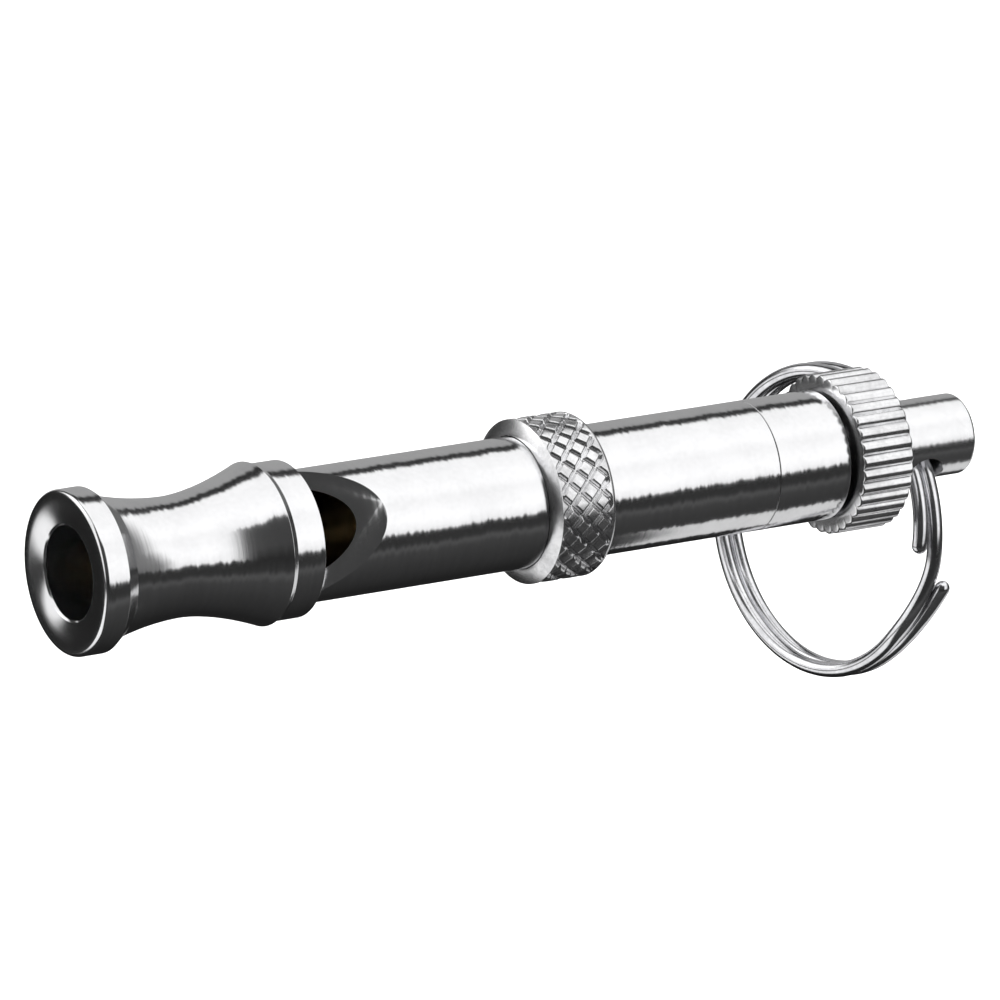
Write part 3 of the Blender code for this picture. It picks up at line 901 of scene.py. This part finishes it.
def make_world():
    """A studio as the metal sees it: lit areas in a dark room. The camera itself sees plain white."""
    world = bpy.data.worlds.new("studio")
    bpy.context.scene.world = world
    world.use_nodes = True
    tree = world.node_tree
    tree.nodes.clear()
    place = add_node(tree, "ShaderNodeTexCoord")
    split = add_node(tree, "ShaderNodeSeparateXYZ")
    tree.links.new(place.outputs["Generated"], split.inputs[0])
    x, y, z = split.outputs
    around = add_math(tree, "ARCTAN2", z, add_math(tree, "MULTIPLY", y, -1.0))
    degrees = add_math(tree, "MULTIPLY", around, 180.0 / math.pi)

    along = add_math(tree, "MULTIPLY_ADD", degrees, 1.0 / 360.0, 0.5)
    light = add_ramp(tree, along, gray_stops(ROOM_LIGHT, start=-180.0, span=360.0))
    for area, level in (
        (add_softbox(tree, degrees, x), SOFTBOX_LIGHT),
        (add_back_wall(tree, degrees, x), WALL_LIGHT),
        (add_far_end(tree, degrees, x), FAR_END_LIGHT),
        (add_rear_box(tree, degrees, x), SOFTBOX_LIGHT),
        (add_front_panels(tree, x, y, z), PANEL_LIGHT),
    ):
        light = add_math(tree, "MULTIPLY_ADD", area, level, light)

    studio = add_node(tree, "ShaderNodeBackground")
    tree.links.new(light, studio.inputs["Color"])
    backdrop = add_node(tree, "ShaderNodeBackground")
    backdrop.inputs["Color"].default_value = (1.0, 1.0, 1.0, 1.0)
    seen = add_node(tree, "ShaderNodeLightPath")
    mix = add_node(tree, "ShaderNodeMixShader")
    tree.links.new(seen.outputs["Is Camera Ray"], mix.inputs["Fac"])
    tree.links.new(studio.outputs[0], mix.inputs[1])
    tree.links.new(backdrop.outputs[0], mix.inputs[2])
    out = add_node(tree, "ShaderNodeOutputWorld")
    tree.links.new(mix.outputs[0], out.inputs["Surface"])


def make_floor(lowest):
    """A wide pale floor under the hanging ring; the metal reflects the studio, not the floor."""
    half = FLOOR_HALF
    height = lowest - FLOOR_DROP
    corners = [(-half, -half, height), (half, -half, height), (half, half, height), (-half, half, height)]
    mesh = bpy.data.meshes.new("floor")
    mesh.from_pydata(corners, [], [(0, 1, 2, 3)])
    floor = bpy.data.objects.new("floor", mesh)
    bpy.context.scene.collection.objects.link(floor)
    floor.visible_glossy = False
    material, _, shader = new_material("pale_floor")
    shader.inputs["Base Color"].default_value = FLOOR_COLOR
    shader.inputs["Roughness"].default_value = FLOOR_ROUGHNESS
    mesh.materials.append(material)


def make_lights(center):
    """Two broad soft lights for the floor and its shadows, and a low panel the tube's underside reflects."""
    for name, place, size, energy, reflected in LAMPS:
        light = bpy.data.lights.new(name, "AREA")
        light.shape = "RECTANGLE"
        light.size, light.size_y = size
        light.energy = energy
        lamp = bpy.data.objects.new(name, light)
        bpy.context.scene.collection.objects.link(lamp)
        lamp.location = center + place
        facing = Vector((0.0, 0.0, 1.0)) if reflected else -place
        lamp.rotation_euler = facing.to_track_quat("-Z", "Y").to_euler()
        lamp.visible_glossy = reflected
        lamp.visible_camera = False


def make_camera():
    data = bpy.data.cameras.new("camera")
    camera = bpy.data.objects.new("camera", data)
    bpy.context.scene.collection.objects.link(camera)
    level = math.cos(CAMERA_ELEVATION)
    across = math.sin(CAMERA_AZIMUTH) * level
    back = Vector((across, -math.cos(CAMERA_AZIMUTH) * level, math.sin(CAMERA_ELEVATION)))
    camera.location = CAMERA_TARGET + CAMERA_DISTANCE * back
    camera.rotation_euler = (-back).to_track_quat("-Z", "Y").to_euler()
    data.lens = CAMERA_LENS
    data.shift_x, data.shift_y = CAMERA_SHIFT
    data.clip_start = CAMERA_CLIP
    bpy.context.scene.camera = camera


# ------------------------------------------------------------------------------------------------ main

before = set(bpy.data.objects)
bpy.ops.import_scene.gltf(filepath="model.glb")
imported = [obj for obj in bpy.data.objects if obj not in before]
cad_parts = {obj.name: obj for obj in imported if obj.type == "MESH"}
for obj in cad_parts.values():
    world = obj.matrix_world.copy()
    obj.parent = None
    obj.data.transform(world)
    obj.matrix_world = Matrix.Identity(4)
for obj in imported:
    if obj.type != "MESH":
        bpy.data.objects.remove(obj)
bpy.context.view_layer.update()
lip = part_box("mouthpiece")[0].x

bright = (0.92, 0.92, 0.93)
dull = (0.85, 0.85, 0.86)
plate = plated_metal("polished_plate", bright, dull, (0.05, 0.14), 0.5, 5200.0, chatter=0.07)
knurled = plated_metal("knurled_plate", bright, (0.6, 0.6, 0.61), (0.12, 0.26), 0.25, 5200.0)
nut_plate = plated_metal("nut_plate", bright, (0.66, 0.66, 0.67), (0.1, 0.24), 0.4, 4200.0)
screw_plate = plated_metal("screw_plate", bright, dull, (0.08, 0.2), 0.5, 4800.0, chatter=0.06)
ring_steel = plated_metal("ring_steel", (0.9, 0.9, 0.92), (0.66, 0.66, 0.68), (0.07, 0.18), 0.25, 1500.0)
brass = plated_metal("turned_brass", (0.62, 0.47, 0.23), (0.3, 0.2, 0.09), (0.2, 0.4), 0.8, 4200.0)
pin_steel = plated_metal("pin_steel", (0.7, 0.7, 0.72), (0.45, 0.45, 0.47), (0.22, 0.4), 0.5, 6000.0)
rubber = matte_rubber("seal_rubber")

finish_piece(make_mouthpiece(lip), "whistle_body", plate, "mouthpiece")
finish_piece(make_body_tube(lip), "whistle_body", plate, "body_tube")
finish_piece(make_end_bush(), "whistle_body", plate, "end_bush")
finish_piece(make_grip_band(), "whistle_body", knurled, "grip_band")
finish_piece(make_lock_nut(), "lock_nut", nut_plate, "lock_nut")
finish_piece(make_screw_head(), "tuning_screw", screw_plate, "tuning_screw")
finish_piece(make_screw_shank(), "tuning_screw", screw_plate)
finish_piece(make_split_ring(), "split_ring", ring_steel, "split_ring")

inner_materials = {"windway_plug": brass, "piston": brass, "piston_seal": rubber, "swivel_pin": pin_steel}
for node, material in inner_materials.items():
    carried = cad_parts[node]
    carried.data.materials.clear()
    carried.data.materials.append(material)

low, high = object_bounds()
make_world()
make_floor(low.z)
make_lights(0.5 * (low + high))
make_camera()
bpy.context.scene.view_settings.view_transform = "Standard"
